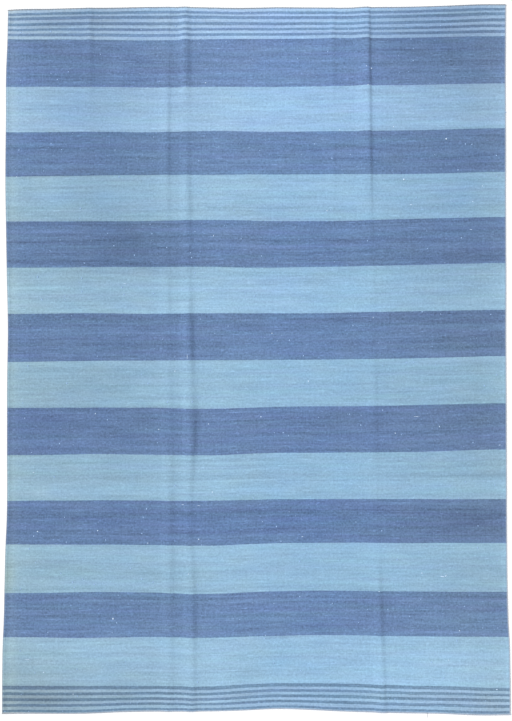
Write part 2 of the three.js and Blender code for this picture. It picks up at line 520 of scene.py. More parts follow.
# %% [markdown]
# ## Colours and the one node helper
#
# Colours are picked as they look on a screen, as hex codes. Shaders add up light, so
# one function turns each code into linear light. The second function adds a node, sets
# what is given and links what is a socket. Every material and every tree of Geometry
# Nodes below is made with it. An input goes by its name, or by its place in the node's
# list where that is shorter or where names repeat. So a Map Range takes its value as 0,
# its own range as 1 and 2, and the range it gives as 3 and 4.

# %% Helpers
def linear(code):
    """A screen colour such as #9cc2e1 as linear red, green, blue and alpha."""
    parts = [int(code[place : place + 2], 16) / 255 for place in (1, 3, 5)]
    return [p / 12.92 if p <= 0.04045 else ((p + 0.055) / 1.055) ** 2.4 for p in parts] + [1]


def add(tree, kind, inputs=None, **settings):
    """Adds a node, with its settings, and its inputs as values or as sockets to link."""
    made = tree.nodes.new(kind)
    for name, value in settings.items():
        setattr(made, name, value)
    for name, value in (inputs or {}).items():
        if isinstance(value, bpy.types.NodeSocket):
            tree.links.new(value, made.inputs[name])
        else:
            made.inputs[name].default_value = value
    return made


def new_material(name):
    """An empty node material and its tree."""
    material = bpy.data.materials.new(name)
    material.use_nodes = True
    material.node_tree.nodes.clear()
    return material, material.node_tree


MIX_FIRST = 6  # a Mix node has inputs for every type, and these are its two colours
MIX_SECOND = 7
MIX_RESULT = 2


# %% [markdown]
# ## The stripes
#
# Indigo gives both blues: one dip for the light yarn and several for the dark one. Each
# batch comes out of the vat a little different, so the bands differ slightly from one
# another, which weavers call abrash. The stripes are a list of where each starts in the
# weaving and which yarn it is. A colour ramp would be the short way to paint them, but
# it is worked out in 256 steps, nearly a centimetre each here. So every stripe has a
# comparison of its own instead: past its start, the colour becomes its yarn's.

# %% The yarns and the order of stripes
YARNS = {
    "light_first": "#91b5d6",
    "light": "#8cb1ce",
    "light_deep": "#88adc9",
    "dark_first": "#6985af",
    "dark": "#6480a8",
    "dark_mid": "#627da5",
    "dark_deep": "#607aa2",
    # the first light stripe at the far end is painted paler than the other thin light stripes, a painted
    # highlight against the shade that the rounded end and its stitches cast on it
    "far_first_painted_light": "#a4c4e6",
    "far_thin_light": "#9bbbdf",
    "far_thin_dark": "#7291b6",
    "near_thin_light": "#92b3d1",
    "near_thin_dark": "#6a88a6",
    "far_turn": "#8d9cad",
    "near_turn": "#a2b0c2",
}
BROAD_YARNS = (
    "dark_first light_first dark light dark_mid light dark_mid light_deep"
    " dark_deep light_deep dark_deep light_deep dark light"
).split()
FAR_THIN_STRIPES = [(24, 33), (39.5, 50), (60.5, 70.5), (80, 88.5), (97.5, 107)]
NEAR_THIN_STRIPES = [(2291.5, 2303), (2311.5, 2320.5), (2329.5, 2339), (2347.5, 2356.5), (2366.5, 2373.5)]
FAR_TURN_END = 15.5
NEAR_TURN_START = 2375

stripes = [(0, "far_turn"), (FAR_TURN_END, "far_first_painted_light")]
for start, end in FAR_THIN_STRIPES:
    stripes += [(start, "far_thin_dark"), (end, "far_thin_light")]
stripes += list(zip(BAND_EDGES[:-1], BROAD_YARNS))
for start, end in NEAR_THIN_STRIPES:
    stripes += [(start, "near_thin_dark"), (end, "near_thin_light")]
stripes += [(NEAR_TURN_START, "near_turn")]
print(len(stripes), "stripes from end to end, in", len(YARNS), "yarns")

# %% [markdown]
# ## Wool cloth
#
# What makes it read as wool and not as print is unevenness at many scales: wefts spun
# from lighter and darker fibre, which show as long thin streaks; the heathered grain of
# the yarn; faint lines where the warps stand; and short pale flecks of undyed fibre.
# All are noises stretched along the weft, scaled in millimetres, and most are stronger
# in the dark yarn, where pale fibre stands out. Real wefts are about half a millimetre
# thick, too fine to show, so the streaks are drawn as bundles of several wefts. Single
# wefts and runs of wefts that are plainly paler or darker than their band have a table of
# their own. Wool is matt, with a faint nap that catches light at a low angle, which the
# sheen gives.

# %% Where a weft lies, with its stray and the teeth at a stripe's edge
wool, tree = new_material("weft_faced_wool")
weave = add(tree, "ShaderNodeUVMap", uv_map="Weave").outputs["UV"]
across, woven, _ = add(tree, "ShaderNodeSeparateXYZ", {0: weave}).outputs


def yarn_noise(along_weft, across_weft, detail, shift):
    """Noise stretched along the weft, with features of these sizes in millimetres."""
    scale = (1 / (along_weft * MM), 1 / (across_weft * MM), 1)
    place = {"Vector": weave, "Scale": scale, "Location": (shift, shift, shift)}
    place = add(tree, "ShaderNodeMapping", place).outputs[0]
    settings = {"Vector": place, "Scale": 1.0, "Detail": detail, "Roughness": 0.5}
    return add(tree, "ShaderNodeTexNoise", settings).outputs["Fac"]


STRAYS = table(  # each noise's size, detail and shift, and twice how far it moves a weft
    "along_weft across_weft detail shift reach",
    (170, 90, 1, 2.3, 3.4),  # a weft strays from its row
    (9, 60, 0, 5.1, 1.3),  # a stripe's edge is toothed
)
middle_stray = {0: woven, 1: STRAYS["reach"].sum() / 2 * MM}
strayed = add(tree, "ShaderNodeMath", middle_stray, operation="SUBTRACT").outputs[0]
for *pattern, reach in zip(*STRAYS.values()):
    stray = {0: yarn_noise(*pattern), 1: reach * MM, 2: strayed}
    strayed = add(tree, "ShaderNodeMath", stray, operation="MULTIPLY_ADD").outputs[0]

# %% One comparison for each stripe
colour = linear(YARNS[stripes[0][1]])
for start, yarn in stripes[1:]:
    beyond = add(tree, "ShaderNodeMath", {0: strayed, 1: start * MM}, operation="GREATER_THAN").outputs[0]
    choice = {0: beyond, MIX_FIRST: colour, MIX_SECOND: linear(YARNS[yarn])}
    colour = add(tree, "ShaderNodeMix", choice, data_type="RGBA").outputs[MIX_RESULT]

DARK_GREY = 0.22  # the dark yarns' brightness, where the depth of dye is 1
LIGHT_GREY = 0.37  # the light yarns', where it is 0
grey = add(tree, "ShaderNodeRGBToBW", {0: colour}).outputs[0]
depth = add(tree, "ShaderNodeMapRange", {0: grey, 1: DARK_GREY, 2: LIGHT_GREY, 3: 1.0, 4: 0.0}).outputs[0]
print("the stripes take", 2 * (len(stripes) - 1), "nodes")

# %% [markdown]
# ## Painted shade and yellowing
#
# Towards its sides the rug is a little darker, most of all near the far end, and yellower. The darkening is
# painted shade, standing in for a light that is brighter in the middle of the rug than at its sides. The
# first table says by how much at a few places across: the share of light that the painted shade leaves at the
# far and the near end, and how far the light and the dark yarns have yellowed. A linear ramp has four
# channels, so one ramp holds all four columns. The second table adds soft patches, such as a soiled corner.
# Each is a round gradient, stretched by its reach.

# %% A ramp of four columns, soft patches, and the tint they make
# Painted shade: the second and third columns darken the rug towards its sides, most of all near the far end,
# for a light that is brighter in the middle.
SIDE_SHADE_AND_YELLOWING = table(
    "across kept_far kept_near light_yellow dark_yellow",
    (34, 0.99, 0.98, 1.1, 0.55),
    (64, 0.93, 0.935, 0.75, 0.2),
    (105, 0.88, 0.945, 0.7, 0.15),
    (180, 0.85, 0.965, 0.55, 0.18),
    (263, 0.80, 0.99, 0.45, 0.18),
    (331, 0.79, 0.99, 0.4, 0.15),
    (398, 0.82, 0.965, 0.35, 0.15),
    (523, 0.91, 0.98, 0.35, 0.25),
    (729, 1.0, 1.03, 0.3, 0.2),
    (820, 1.0, 1.0, 0.2, 0.2),
    (921, 1.0, 0.99, 0.0, 0.05),
    (1113, 0.98, 0.98, 0.0, 0.0),
    (1181, 0.98, 0.98, 0.0, 0.1),
    (1343, 0.87, 1.0, 0.15, 0.25),
    (1478, 0.83, 0.98, 0.2, 0.35),
    (1603, 0.78, 0.945, 0.4, 0.45),
    (1677, 0.87, 0.955, 0.5, 0.5),
)
YELLOWING = (0.153, 0.04, -0.098)  # what full yellowing adds to red, green and blue
STAIN_SWING = 0.8  # how much yellowing differs from place to place
STAIN_PATTERN = (100, 45, 1, 131)  # its noise, as in the table of yarn patterns below
PATCHES = table(
    "across along reach_across reach_along lighter yellower",
    (4, 1150, 26, 900, 0.2, 0),  # the left edge, rubbed paler
    (150, 60, 500, 130, -0.12, 0),
    (390, 200, 70, 90, 0.12, 0),
    (200, 350, 500, 220, 0, -0.6),
    (200, 650, 600, 110, 0, -0.4),
    (440, 790, 330, 170, -0.2, 0),
    (1470, 100, 450, 300, -0.19, -0.35),
    (1550, 650, 400, 600, 0, -0.5),
    (150, 1400, 260, 110, -0.07, -0.2),
    (1130, 1410, 230, 110, -0.1, 0.2),
    (1600, 1745, 380, 110, -0.2, 0),
    (850, 1745, 1300, 110, 0.04, -0.4),
    (15, 1930, 45, 130, -0.06, 0.9),  # a stain at the left edge
    (100, 2330, 900, 220, -0.28, 0.4),  # the soiled near corner
    (1500, 2230, 600, 220, 0.12, 0),
    (1660, 2350, 160, 90, -0.06, 0.35),
)
across_share = add(tree, "ShaderNodeMath", {0: across, 1: 1 / (WIDTH * MM)}, operation="MULTIPLY").outputs[0]
side_shade_and_yellowing = add(tree, "ShaderNodeValToRGB", {0: across_share})
stops = side_shade_and_yellowing.color_ramp.elements
for place, *amounts in zip(*SIDE_SHADE_AND_YELLOWING.values()):
    stop = stops.new(place / WIDTH)
    stop.color = amounts
stops.remove(stops[0])
stops.remove(stops[-1])
painted_shade_far, painted_shade_near, light_yellow = add(tree, "ShaderNodeSeparateColor", {0: side_shade_and_yellowing.outputs["Color"]}).outputs
dark_yellow = side_shade_and_yellowing.outputs["Alpha"]
# The painted shade, from the far end's column to the near end's.
shade_and_soil = {0: woven, 1: 0.0, 2: LENGTH * MM, 3: painted_shade_far, 4: painted_shade_near}
shade_and_soil = add(tree, "ShaderNodeMapRange", shade_and_soil).outputs[0]
yellow = add(tree, "ShaderNodeMix", {0: depth, 2: light_yellow, 3: dark_yellow}).outputs[0]
yellow = add(tree, "ShaderNodeMath", {0: yellow, 1: STAIN_SWING / 2}, operation="SUBTRACT").outputs[0]
change = add(tree, "ShaderNodeCombineXYZ", {0: shade_and_soil, 1: yellow}).outputs[0]
for patch_across, patch_along, reach_across, reach_along, lighter, yellower in zip(*PATCHES.values()):
    patch_place = {
        "Vector": weave,
        "Location": (patch_across * MM, patch_along * MM, 0),
        "Scale": (reach_across * MM, reach_along * MM, 1),
    }
    patch = {0: add(tree, "ShaderNodeMapping", patch_place, vector_type="TEXTURE").outputs[0]}
    patch = add(tree, "ShaderNodeTexGradient", patch, gradient_type="QUADRATIC_SPHERE").outputs["Fac"]
    patch = {0: patch, 1: (lighter, yellower, 0), 2: change}
    change = add(tree, "ShaderNodeVectorMath", patch, operation="MULTIPLY_ADD").outputs[0]
stain = {0: yarn_noise(*STAIN_PATTERN), 1: (0, STAIN_SWING, 0), 2: change}
change = add(tree, "ShaderNodeVectorMath", stain, operation="MULTIPLY_ADD").outputs[0]
shade_and_soil, yellow, _ = add(tree, "ShaderNodeSeparateXYZ", {0: change}).outputs
tint = {0: yellow, 1: YELLOWING, 2: (1, 1, 1)}
tint = add(tree, "ShaderNodeVectorMath", tint, operation="MULTIPLY_ADD").outputs[0]
tint = add(tree, "ShaderNodeVectorMath", {0: tint, 1: shade_and_soil}, operation="MULTIPLY").outputs[0]
# The stripes' colour with the painted shade, the patches and the yellowing.
tinted_with_shade = add(tree, "ShaderNodeVectorMath", {0: colour, 1: tint}, operation="MULTIPLY").outputs[0]
print("the fading ramp has", len(stops), "stops, and there are", len(PATCHES["across"]), "patches")

# %% Streaks, grain, warp lines and blotches
YARN_PATTERNS = table(
    "along_weft across_weft detail shift light dark",
    (700, 19, 2, 17, 0.26, 0.45),  # bundles of paler and darker wefts
    (350, 5, 1, 7, 0.22, 0.32),  # single wefts
    (110, 10, 2, 0, 0.36, 0.52),  # streaks
    (9, 6.5, 1, 31, 0.36, 0.58),  # heathered grain
    (4.5, 7, 0, 37, 0.24, 0.42),  # fine grain
    (8, 110, 1, 43, 0.08, 0.17),  # warps
    (260, 200, 1, 59, 0.12, 0.12),  # blotches
)
brightness = (1 - YARN_PATTERNS["light"].sum() / 2, 1 - YARN_PATTERNS["dark"].sum() / 2, 0)
for *pattern, light, dark in zip(*YARN_PATTERNS.values()):
    strength = {0: yarn_noise(*pattern), 1: (light, dark, 0), 2: brightness}
    brightness = add(tree, "ShaderNodeVectorMath", strength, operation="MULTIPLY_ADD").outputs[0]

# %% Flecks of undyed fibre, each where a noise reaches its peaks
FLECKS = table(
    "along_weft across_weft detail shift begins full light dark",
    (16, 3.6, 1, 71, 0.64, 0.76, 0.22, 0.45),
    (50, 4, 1, 113, 0.63, 0.74, 0.18, 0.35),
)
for *pattern, begins, full, light, dark in zip(*FLECKS.values()):
    fleck = add(tree, "ShaderNodeMapRange", {0: yarn_noise(*pattern), 1: begins, 2: full}).outputs[0]
    strength = {0: fleck, 1: (light, dark, 0), 2: brightness}
    brightness = add(tree, "ShaderNodeVectorMath", strength, operation="MULTIPLY_ADD").outputs[0]
light_brightness, dark_brightness, _ = add(tree, "ShaderNodeSeparateXYZ", {0: brightness}).outputs
brightness = add(tree, "ShaderNodeMix", {0: depth, 2: light_brightness, 3: dark_brightness}).outputs[0]

# %% Single wefts and runs of wefts that stand out from their band, as a change of light
ODD_WEFTS = table(
    "woven width change",
    (150, 8, 0.04),
    (165, 20, -0.04),
    (207, 18, -0.06),
    (327, 7, 0.055),
    (373, 7, 0.04),
    (411, 16, 0.045),
    (466, 7, 0.075),
    (481, 7, -0.075),
    (542, 8, 0.05),
    (624, 7, 0.04),
    (695, 44, -0.045),
    (743, 7, -0.09),
    (765, 14, 0.08),
    (801, 8, -0.09),
    (817, 7, 0.075),
    (845, 16, -0.055),
    (868, 28, -0.045),
    (904, 30, -0.04),
    (958, 8, 0.055),
    (976, 22, 0.035),
    (1022, 36, 0.045),
    (1066, 44, -0.08),
    (1107, 8, 0.075),
    (1136, 10, -0.05),
    (1145, 9, -0.10),
    (1179, 8, 0.065),
    (1210, 18, 0.06),
    (1470, 26, 0.065),
    (1490, 9, 0.05),
    (1596, 8, -0.055),
    (1614, 7, 0.055),
    (1631, 28, 0.05),
    (1685, 7, 0.10),
    (1711, 14, -0.10),
    (1724, 12, -0.09),
    (1777, 20, -0.08),
    (1788, 7, 0.06),
    (1842, 46, 0.05),
    (1993, 24, -0.085),
    (2011, 8, 0.03),
    (2027, 26, -0.035),
    (2060, 9, -0.08),
    (2102, 8, -0.05),
    (2279, 24, 0.06),
)
for odd_woven, width, change in zip(*ODD_WEFTS.values()):
    here = {0: strayed, 1: odd_woven * MM, 2: width / 2 * MM}
    here = add(tree, "ShaderNodeMath", here, operation="COMPARE").outputs[0]
    here = {0: here, 1: change, 2: brightness}
    brightness = add(tree, "ShaderNodeMath", here, operation="MULTIPLY_ADD").outputs[0]

# %% The vat's unevenness, as a swing of hue, and the colour of the cloth
HUE_SWING = 0.035
HUE_PATTERN = (350, 18, 2, 83)  # its noise, as in the table of yarn patterns
SAME_HUE = 0.5  # where the node leaves a hue as it is
hue = {0: yarn_noise(*HUE_PATTERN), 1: HUE_SWING, 2: SAME_HUE - HUE_SWING / 2}
hue = add(tree, "ShaderNodeMath", hue, operation="MULTIPLY_ADD").outputs[0]
shaded = add(tree, "ShaderNodeHueSaturation", {"Hue": hue, "Value": brightness, "Color": tinted_with_shade}).outputs[0]

# %% [markdown]
# ## Selvedges and relief
#
# At each side the wefts turn round the outer warps. Down the left side the colour is mixed towards a greyish
# brown, and down the right one towards a pale grey-blue. The relief of the weave is bump, because a weft is
# thinner than a mesh could show.

# %% The selvedges' colours, the bump and the surface
side = add(tree, "ShaderNodeAttribute", attribute_name="side").outputs["Fac"]
SELVEDGES = [  # where on the side attribute the colour begins and ends, its share, its code
    (-0.45, -0.9, 0.7, "#7d8088"),
    (0.4, 0.85, 0.7, "#b9c3d6"),
]
edged = shaded
for begin, end, share, code in SELVEDGES:
    amount = add(tree, "ShaderNodeMapRange", {0: side, 1: begin, 2: end, 3: 0.0, 4: share}).outputs[0]
    choice = {0: amount, MIX_FIRST: edged, MIX_SECOND: linear(code)}
    edged = add(tree, "ShaderNodeMix", choice, data_type="RGBA").outputs[MIX_RESULT]
WARP_RELIEF = (8, 70, 0, 3)  # its noise, as in the table of yarn patterns
WARP_SHARE = 0.5  # of the wefts' relief
WEFT_RELIEF = (60, 4, 1, 97)
RELIEF_DEPTH = 0.5  # millimetres
RELIEF_STRENGTH = 0.5
warp_lines = {0: yarn_noise(*WARP_RELIEF), 1: WARP_SHARE}
warp_lines = add(tree, "ShaderNodeMath", warp_lines, operation="MULTIPLY").outputs[0]
relief = {0: yarn_noise(*WEFT_RELIEF), 1: warp_lines}
relief = add(tree, "ShaderNodeMath", relief, operation="ADD").outputs[0]
relief = {"Strength": RELIEF_STRENGTH, "Distance": RELIEF_DEPTH * MM, "Height": relief}
bump = add(tree, "ShaderNodeBump", relief)
surface = add(
    tree,
    "ShaderNodeBsdfPrincipled",
    {
        "Base Color": edged,
        "Roughness": 0.95,
        "Specular IOR Level": 0.2,
        "Sheen Weight": 0.15,
        "Sheen Roughness": 0.5,
        "Normal": bump.outputs[0],
    },
)
add(tree, "ShaderNodeOutputMaterial", {"Surface": surface.outputs[0]})
cloth_mesh.materials.append(wool)
print("the wool material has", len(tree.nodes), "nodes")

# %% [markdown]
# ## Yarn and fibre, and what Geometry Nodes need
#
# The small things on the cloth are single yarns or tufts of fibre. Each has one colour,
# broken up by a noise of the size of a yarn's twist. Geometry Nodes make them, and three
# short functions serve all the trees: one opens a tree with its named inputs, one ends
# it, and one runs it on a mesh and keeps the result as a plain mesh.

# %% Yarn material and the functions that the trees share
TWIST = 1.5  # millimetres, the size of the mottling of twisted fibre
DARKEST_FIBRE = 0.8
LIGHTEST_FIBRE = 1.15


def plain_yarn(name, code):
    """Loose fibre or sewing yarn: matt wool of one colour, mottled by its twist."""
    material, tree = new_material(name)
    place = add(tree, "ShaderNodeTexCoord").outputs["Object"]
    mottle = {"Vector": place, "Scale": 1 / (TWIST * MM), "Detail": 1.0}
    mottle = add(tree, "ShaderNodeTexNoise", mottle).outputs["Fac"]
    value = add(tree, "ShaderNodeMapRange", {0: mottle, 3: DARKEST_FIBRE, 4: LIGHTEST_FIBRE}).outputs[0]
    tinted = add(tree, "ShaderNodeHueSaturation", {"Value": value, "Color": linear(code)}).outputs[0]
    shader = {"Base Color": tinted, "Roughness": 0.9, "Specular IOR Level": 0.2, "Sheen Weight": 0.1}
    surface = add(tree, "ShaderNodeBsdfPrincipled", shader)
    add(tree, "ShaderNodeOutputMaterial", {"Surface": surface.outputs[0]})
    return material


def new_tree(name, inputs):
    """A tree, the identifiers of its named inputs, and the sockets that give them inside."""
    tree = bpy.data.node_groups.new(name, "GeometryNodeTree")
    tree.interface.new_socket("Geometry", in_out="INPUT", socket_type="NodeSocketGeometry")
    tree.interface.new_socket("Geometry", in_out="OUTPUT", socket_type="NodeSocketGeometry")
    identifiers = {}
    for label, kind in inputs.items():
        socket = tree.interface.new_socket(label, in_out="INPUT", socket_type="NodeSocket" + kind)
        identifiers[label] = socket.identifier
    return tree, identifiers, add(tree, "NodeGroupInput").outputs


def end_tree(tree, geometry, material):
    """The end of every tree: real meshes, smooth, in their material."""
    real = add(tree, "GeometryNodeRealizeInstances", {0: geometry}).outputs[0]
    smooth = add(tree, "GeometryNodeSetShadeSmooth", {0: real}).outputs[0]
    finished = add(tree, "GeometryNodeSetMaterial", {0: smooth, "Material": material}).outputs[0]
    add(tree, "NodeGroupOutput", {0: finished})


def grow(name, source, tree, identifiers, values):
    """Runs a tree on a mesh and keeps what it makes as a plain mesh in a new object."""
    source_object = new_object(name + "_source", source)
    modifier = source_object.modifiers.new("nodes", "NODES")
    modifier.node_group = tree
    for key, value in values.items():
        modifier[identifiers[key]] = value
    evaluated = source_object.evaluated_get(bpy.context.evaluated_depsgraph_get())
    mesh = bpy.data.meshes.new_from_object(evaluated)
    bpy.data.objects.remove(source_object)
    mesh.name = name
    print(name, "has", sum(len(face.vertices) - 2 for face in mesh.polygons), "triangles")
    return new_object(name, mesh)


# %% [markdown]
# ## Neps and slubs
#
# Carded wool holds neps, tiny knots of fibre that take little dye and dot the cloth with pale specks. They
# are small solid lumps, so they are made as such: Geometry Nodes scatter flattened balls over the upper face,
# most of them small and all half dyed. The largest ones, and the slubs, which are longer tufts, took no dye
# at all. They are placed one by one from a table and drawn by a second tree. A texture of dots would do from
# far off, but it would leave the mesh bare.

# %% Scatter the neps
FACING_UP = 0.5  # the least upward share of the normal that tells the upper face
RARE_LARGE = 3.5  # a higher power makes large neps rarer
NEP_SHAPE = (1.25, 0.85, 0.35)  # length, width and height, as shares of a nep's size
NEP_TILT = 0.2  # radians
TURN_SEED = 5


def place_lumps(tree, points, turn, size, fibre):
    """Ends a tree with a flattened ball on every point."""
    lump = add(tree, "GeometryNodeMeshIcoSphere", {"Radius": 0.5, "Subdivisions": 1}).outputs[0]
    lumps = {"Points": points, "Instance": lump, "Rotation": turn, "Scale": size}
    end_tree(tree, add(tree, "GeometryNodeInstanceOnPoints", lumps).outputs[0], fibre)


nep_sizes = {"Neps per Square Metre": "Float", "Smallest": "Float", "Largest": "Float"}
nep_tree, nep_inputs, inside = new_tree("neps_on_cloth", nep_sizes | {"Seed": "Int", "Fibre": "Material"})
normal = add(nep_tree, "GeometryNodeInputNormal").outputs[0]
is_upper = {0: add(nep_tree, "ShaderNodeSeparateXYZ", {0: normal}).outputs["Z"], 1: FACING_UP}
is_upper = add(nep_tree, "FunctionNodeCompare", is_upper, operation="GREATER_THAN").outputs[0]
density = inside["Neps per Square Metre"]
scattering = {"Mesh": inside[0], "Selection": is_upper, "Density": density, "Seed": inside["Seed"]}
scatter = add(nep_tree, "GeometryNodeDistributePointsOnFaces", scattering).outputs[0]
chance = add(nep_tree, "FunctionNodeRandomValue", {2: 0.0, 3: 1.0, "Seed": inside["Seed"]}, data_type="FLOAT")
few_large = {0: chance.outputs[1], 1: RARE_LARGE}
few_large = add(nep_tree, "ShaderNodeMath", few_large, operation="POWER").outputs[0]
size_range = {0: few_large, 3: inside["Smallest"], 4: inside["Largest"]}
size = add(nep_tree, "ShaderNodeMapRange", size_range).outputs[0]
flattened = {0: NEP_SHAPE, "Scale": size}
flattened = add(nep_tree, "ShaderNodeVectorMath", flattened, operation="SCALE").outputs[0]
turn = {0: (-NEP_TILT, -NEP_TILT, 0), 1: (NEP_TILT, NEP_TILT, math.tau), "Seed": TURN_SEED}
turn = add(nep_tree, "FunctionNodeRandomValue", turn, data_type="FLOAT_VECTOR").outputs[0]
place_lumps(nep_tree, scatter, turn, flattened, inside["Fibre"])

nep_values = {
    "Neps per Square Metre": 290.0,
    "Smallest": 1.9 * MM,
    "Largest": 6 * MM,
    "Seed": 7,
    "Fibre": plain_yarn("half_dyed_wool_fibre", "#9fbfe8"),
}
neps = grow("neps", cloth_mesh, nep_tree, nep_inputs, nep_values)

# %% Place the largest neps and the slubs
SLUBS = table(
    "across along length width turn",
    (1246, 217, 6.5, 5.5, 20),
    (1229, 211, 4, 3, 0),
    (687, 265, 6, 3, 0),
    (1234, 274, 6, 3, 30),
    (1321, 413, 6, 3, 90),
    (1139, 424, 7, 3, 0),
    (1499, 454, 6.5, 6, 0),
    (49, 583, 5, 3, 90),
    (1356, 591, 7.5, 6, 10),
    (1621, 613, 5, 3, 90),
    (1589, 666, 5, 3, 0),
    (1381, 676, 13, 2, 0),
    (1097, 696, 5, 4, 80),
    (1583, 760, 12, 1.6, 0),
    (714, 781, 6, 2.5, 90),
    (415, 942, 13, 1.5, 0),
    (1252, 1057, 8, 1.6, 80),
    (911, 1110, 4.5, 3.5, 0),
    (626, 1188, 22, 1.6, 88),
    (584, 1238, 5, 4, 70),
    (1034, 1272, 7, 4, 90),
    (315, 1381, 6, 2.8, 90),
    (1400, 1391, 26, 1.6, 3),
    (874, 1392, 5, 4, 0),
    (697, 1416, 6, 3, 0),
    (1476, 1425, 6, 3, 90),
    (529, 1434, 6, 3, 0),
    (1327, 1447, 4.5, 4, 0),
    (1680, 1487, 4.5, 3.5, 0),
    (107, 1580, 8, 2.5, 0),
    (710, 1646, 6, 4, 90),
    (611, 1688, 12, 1.6, 0),
    (664, 1692, 14, 1.6, 4),
    (323, 1776, 5, 4.5, 0),
    (120, 1779, 6, 5, 0),
    (1014, 1796, 9, 2, 0),
    (664, 1805, 5, 4.5, 0),
    (492, 1818, 4.5, 3.5, 0),
    (1417, 1919, 5, 4, 0),
    (629, 1922, 6, 3, 80),
    (1487, 1931, 20, 3, -12),
    (1498, 1928, 11, 3, 50),
    (1272, 1980, 5, 3.5, 0),
    (375, 2073, 7.5, 6, 80),
    (1544, 2114, 5, 4, 0),
    (87, 2211, 26, 1.5, 0),
    (1507, 2213, 5, 3, 90),
    (141, 2254, 5, 4, 0),
    (1670, 2312, 8, 3, 0),
    (240, 2328, 8, 2, 90),
)
slub_mesh = bpy.data.meshes.new("slub_places")
slub_across = SLUBS["across"]
slub_along = SLUBS["along"]
lift = ridge_lift(slub_across, slub_along)
lift += swell_lift(slub_across, slub_along, np.minimum(slub_across, WIDTH - slub_across))
slub_mesh.from_pydata(on_floor(slub_across, slub_along, lift + CLOTH_THICKNESS).tolist(), [], [])
slub_sizes = np.stack([SLUBS["length"], SLUBS["width"], SLUBS["width"] / 2], axis=1) * MM
level = np.zeros(len(lift))
slub_turns = np.stack([level, level, np.radians(SLUBS["turn"])], axis=1)
for name, values in (("slub_size", slub_sizes), ("slub_turn", slub_turns)):
    attribute = slub_mesh.attributes.new(name, "FLOAT_VECTOR", "POINT")
    attribute.data.foreach_set("vector", values.astype(np.float32).ravel())

slub_tree, slub_inputs, inside = new_tree("slubs_by_hand", {"Fibre": "Material"})
slub_size = add(slub_tree, "GeometryNodeInputNamedAttribute", {0: "slub_size"}, data_type="FLOAT_VECTOR")
slub_turn = add(slub_tree, "GeometryNodeInputNamedAttribute", {0: "slub_turn"}, data_type="FLOAT_VECTOR")
place_lumps(slub_tree, inside[0], slub_turn.outputs[0], slub_size.outputs[0], inside["Fibre"])
undyed = plain_yarn("undyed_wool_fibre", "#d2e8ff")
slubs = grow("slubs", slub_mesh, slub_tree, slub_inputs, {"Fibre": undyed})

# %% [markdown]
# ## The oversewn ends
#
# Both ends are turned under and oversewn, so that the wefts cannot work loose. Each
# stitch is the same short loop over the edge, a row of a few hundred of them, which is
# what Geometry Nodes are for. The sheet's middle ring of rim points gives the edge's
# line. The tree marks it off in even spaces, turns each mark's X axis along the edge, and
# sets a loop of round yarn there. Its shape is four points, as in any curve editor, with
# Y pointing into the rug and Z up.

# %% Stitches along both ends
YARN_SIDES = 6  # enough for a yarn as thin as this


def round_yarn(tree, curve, thickness):
    """Turns a curve into a round yarn with closed ends."""
    radius = add(tree, "ShaderNodeMath", {0: thickness, 1: 2.0}, operation="DIVIDE").outputs[0]
    section = {"Resolution": YARN_SIDES, "Radius": radius}
    section = add(tree, "GeometryNodeCurvePrimitiveCircle", section).outputs[0]
    solid = {"Curve": curve, "Profile Curve": section, "Fill Caps": True}
    return add(tree, "GeometryNodeCurveToMesh", solid).outputs[0]


def line_mesh(name, points):
    """A mesh of edges that join the points in a row."""
    mesh = bpy.data.meshes.new(name)
    mesh.from_pydata(points.tolist(), [(n, n + 1) for n in range(len(points) - 1)], [])
    return mesh


STITCH_SPACING = 5.5
STITCH_THICKNESS = 1.2
STITCH_STEPS = 6  # along a stitch
SMALLEST_STITCH = (0.8, 0.8, 0.92)  # along the edge, inward and up, as shares of the table
LARGEST_STITCH = (1.2, 1.15, 1.04)
STITCH_SEED = 3
STITCH_LOOP = table(
    "along_edge inward up",
    (1.3, 4.5, 1.7),
    (0.6, 2.5, 3.0),
    (-0.8, -1.4, 2.6),
    (-1.2, 0.2, -1.2),
)
stitch_sizes = {"Spacing": "Float", "Thickness": "Float", "Yarn": "Material"}
stitch_tree, stitch_inputs, inside = new_tree("oversewing", stitch_sizes)
edge = add(stitch_tree, "GeometryNodeMeshToCurve", {0: inside[0]}).outputs[0]
marks = add(stitch_tree, "GeometryNodeResampleCurve", {0: edge, "Length": inside["Spacing"]}, mode="LENGTH")
facing = {"Vector": add(stitch_tree, "GeometryNodeInputTangent").outputs[0]}
facing = add(stitch_tree, "FunctionNodeAlignRotationToVector", facing, axis="X", pivot_axis="Z").outputs[0]
four_points = np.transpose(list(STITCH_LOOP.values())) * MM
loop_points = dict(zip(["Start", "Start Handle", "End Handle", "End"], four_points))
loop_points["Resolution"] = STITCH_STEPS
stitch_line = add(stitch_tree, "GeometryNodeCurvePrimitiveBezierSegment", loop_points).outputs[0]
stitch = round_yarn(stitch_tree, stitch_line, inside["Thickness"])
uneven = {0: SMALLEST_STITCH, 1: LARGEST_STITCH, "Seed": STITCH_SEED}
uneven = add(stitch_tree, "FunctionNodeRandomValue", uneven, data_type="FLOAT_VECTOR").outputs[0]
stitch_row = {"Points": marks.outputs[0], "Instance": stitch, "Rotation": facing, "Scale": uneven}
stitch_row = add(stitch_tree, "GeometryNodeInstanceOnPoints", stitch_row).outputs[0]
end_tree(stitch_tree, stitch_row, inside["Yarn"])

